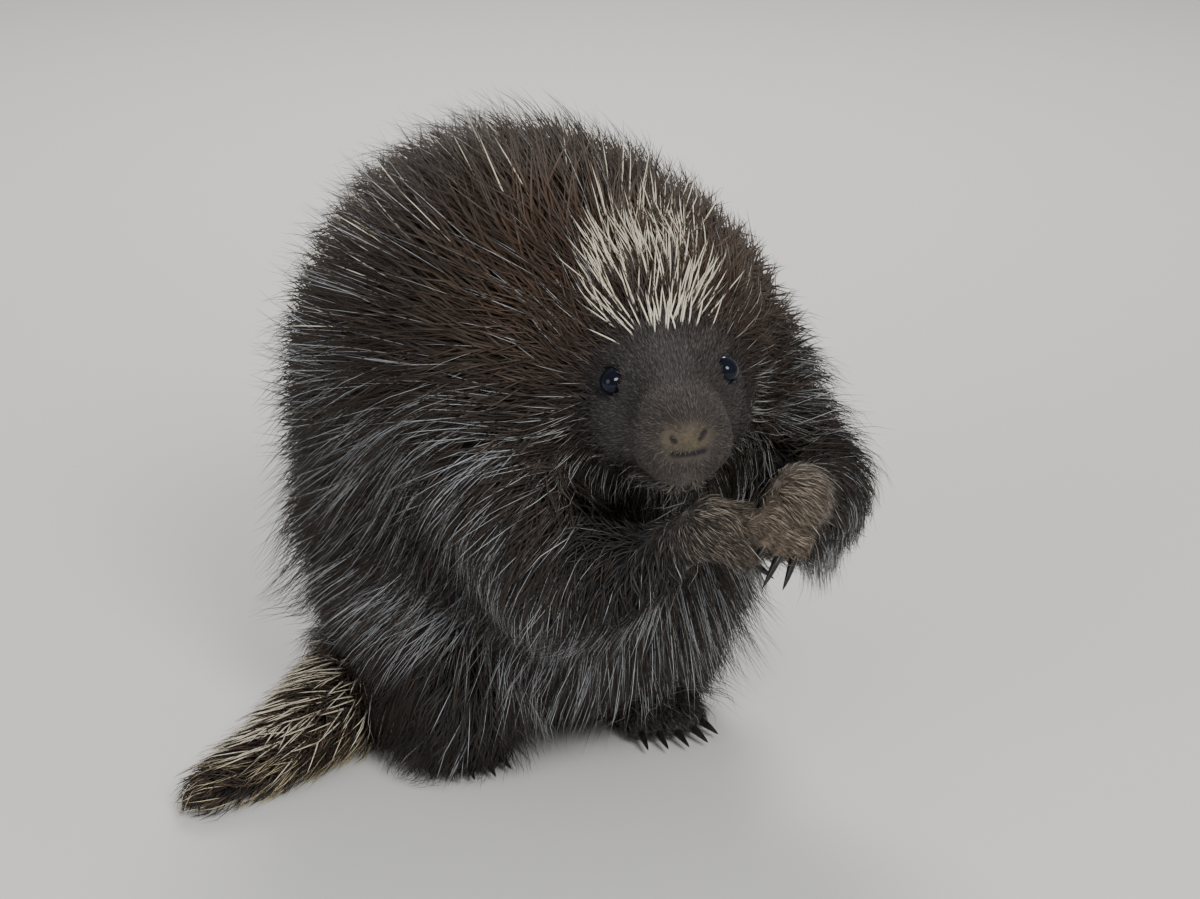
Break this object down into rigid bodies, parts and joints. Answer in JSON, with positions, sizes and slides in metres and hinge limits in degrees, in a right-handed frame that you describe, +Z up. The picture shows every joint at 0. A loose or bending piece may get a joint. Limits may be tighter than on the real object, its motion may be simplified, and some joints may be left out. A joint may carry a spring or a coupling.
{
  "type": "porcupine",
  "caption": "Still, life-size porcupine sitting hunched on its haunches, forepaws held together under the chin and tail laid on the ground, with a long bristly coat and quills.",
  "frame": {"origin": "middle of the underside of the bounding box, on the surface that the animal sits on", "axes": "+Z up; the trunk faces -Y and the animal's own left side is +X; the head is turned towards -X and the tail lies towards -X"},
  "size_m": [0.3228, 0.3428, 0.3261],
  "materials": {
    "long_coat": "matt, with long pale guard hairs and white quills",
    "face_fur": "short velvety fur",
    "foot_fur": "short fur over the back of the paw, with dark claws",
    "eye": "wet gloss"
  },
  "bodies": {
    "root": {"ear_left": "face_fur", "ear_right": "face_fur", "eye_left": "eye", "eye_right": "eye", "forearm_left": "long_coat", "forearm_right": "long_coat", "forepaw_left": "foot_fur", "forepaw_right": "foot_fur", "head": "face_fur", "hindfoot_left": "foot_fur", "hindfoot_right": "foot_fur", "hindleg_left": "long_coat", "hindleg_right": "long_coat", "neck": "long_coat", "tail": "long_coat", "torso": "long_coat", "upper_arm_left": "long_coat", "upper_arm_right": "long_coat"}
  },
  "joints": []
}
